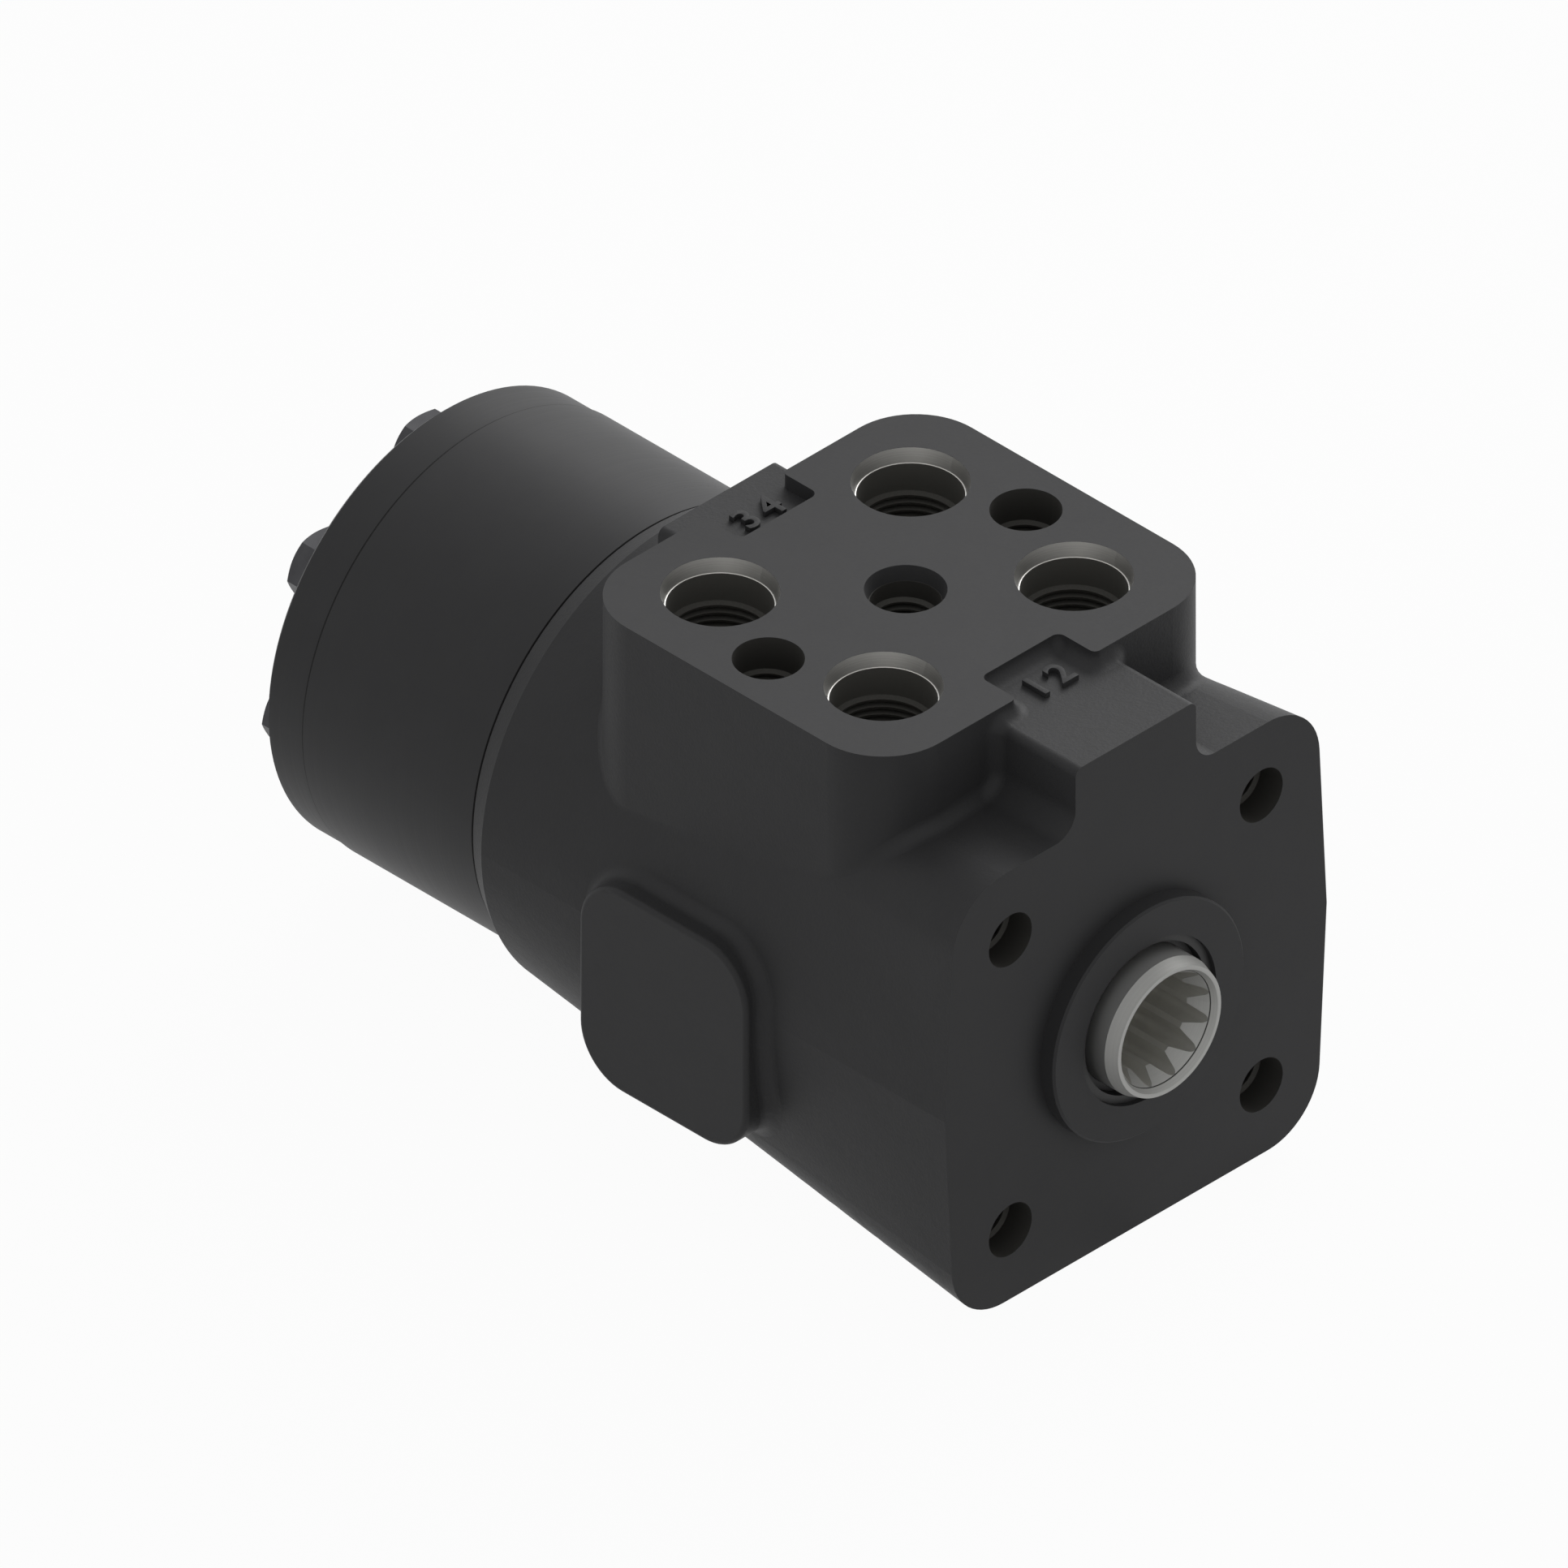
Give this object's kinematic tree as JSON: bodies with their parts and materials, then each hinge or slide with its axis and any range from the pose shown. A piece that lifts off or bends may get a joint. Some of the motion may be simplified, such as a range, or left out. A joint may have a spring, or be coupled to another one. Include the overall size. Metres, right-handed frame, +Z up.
{
  "type": "orbital steering unit",
  "caption": "Hydrostatic steering unit: painted cast housing with a threaded port block, rotary spool valve, orbiting gerotor metering set, bolted end cover and splined input.",
  "frame": {"origin": "centre of the front mounting face, on the axis of the input shaft", "axes": "+X to the right seen from the steering column, +Y along the shaft from the mounting face to the end cover, +Z up to the port face"},
  "size_m": [0.0926, 0.1748, 0.1027],
  "materials": {
    "painted_iron": "semi-matt black paint over cast iron",
    "painted_plate": "semi-matt black paint",
    "painted_ring": "semi-matt black paint",
    "painted_cover": "semi-matt black paint",
    "bolt_steel": "painted over with the unit",
    "washer_steel": "painted over with the unit",
    "gear_steel": "ground",
    "pin_steel": "ground",
    "bearing_steel": "polished",
    "cage_steel": "pressed sheet",
    "spool_steel": "ground, phosphated lightly",
    "sleeve_steel": "ground",
    "spring_steel": "blued strip",
    "ring_steel": "turned",
    "drive_steel": "hardened",
    "throttle_steel": "turned",
    "seal_rubber": "moulded",
    "dust_rubber": "moulded"
  },
  "bodies": {
    "case": {"housing": "painted_iron", "distributor_plate": "painted_plate", "gear_ring": "painted_ring", "end_cover": "painted_cover", "cover_bolts": "bolt_steel", "bolt_washers": "washer_steel", "o_ring_housing": "seal_rubber", "o_ring_plate": "seal_rubber", "o_ring_cover": "seal_rubber", "bearing_outer_race": "bearing_steel", "dust_seal": "dust_rubber", "shaft_seal": "seal_rubber", "check_valve_seat": "pin_steel", "ball_stop_pin": "pin_steel", "throttle_screw": "throttle_steel"},
    "sleeve": {"sleeve": "sleeve_steel", "cross_pin": "pin_steel", "bearing_inner_race": "bearing_steel", "spring_ring": "ring_steel", "flat_springs": "spring_steel", "bowed_springs": "spring_steel"},
    "spool": {"spool": "spool_steel"},
    "orbit": {"star_spacer": "pin_steel"},
    "star": {"gear_star": "gear_steel"},
    "drive": {"drive_shaft": "drive_steel"},
    "cage": {"bearing_cage": "cage_steel", "bearing_needles": "bearing_steel"},
    "ball": {"check_ball": "bearing_steel"}
  },
  "joints": [
    {"name": "metering_turn", "type": "hinge", "parent": "case", "child": "sleeve", "pos_m": [0, 0.0605, 0], "axis": [0, -1, 0], "continuous": true},
    {"name": "valve_deflection", "type": "hinge", "parent": "sleeve", "child": "spool", "pos_m": [0, 0.0605, 0], "axis": [0, -1, 0], "range_deg": [-8, 8], "stiffness_Nm_per_rad": 4, "deforming": ["flat_springs", "bowed_springs"]},
    {"name": "star_orbit", "type": "hinge", "parent": "case", "child": "orbit", "pos_m": [0, 0.136, 0], "axis": [0, -1, 0], "continuous": true},
    {"name": "star_spin", "type": "hinge", "parent": "orbit", "child": "star", "pos_m": [0, 0.136, -0.0025], "axis": [0, -1, 0], "continuous": true},
    {"name": "drive_spin", "type": "hinge", "parent": "orbit", "child": "drive", "pos_m": [0, 0.043, 0], "axis": [0, -0.9996, 0.0269], "continuous": true},
    {"name": "cage_turn", "type": "hinge", "parent": "case", "child": "cage", "pos_m": [0, 0.0114, 0], "axis": [0, -1, 0], "continuous": true},
    {"name": "check_ball_lift", "type": "slide", "parent": "case", "child": "ball", "axis": [0, 0, 1], "range_m": [0, 0.0015]}
  ],
  "couplings": [
    {"joint": "star_orbit", "follows": "metering_turn", "ratio": -6},
    {"joint": "star_spin", "follows": "metering_turn", "ratio": 7},
    {"joint": "drive_spin", "follows": "metering_turn", "ratio": 7},
    {"joint": "cage_turn", "follows": "metering_turn", "ratio": 0.5}
  ]
}
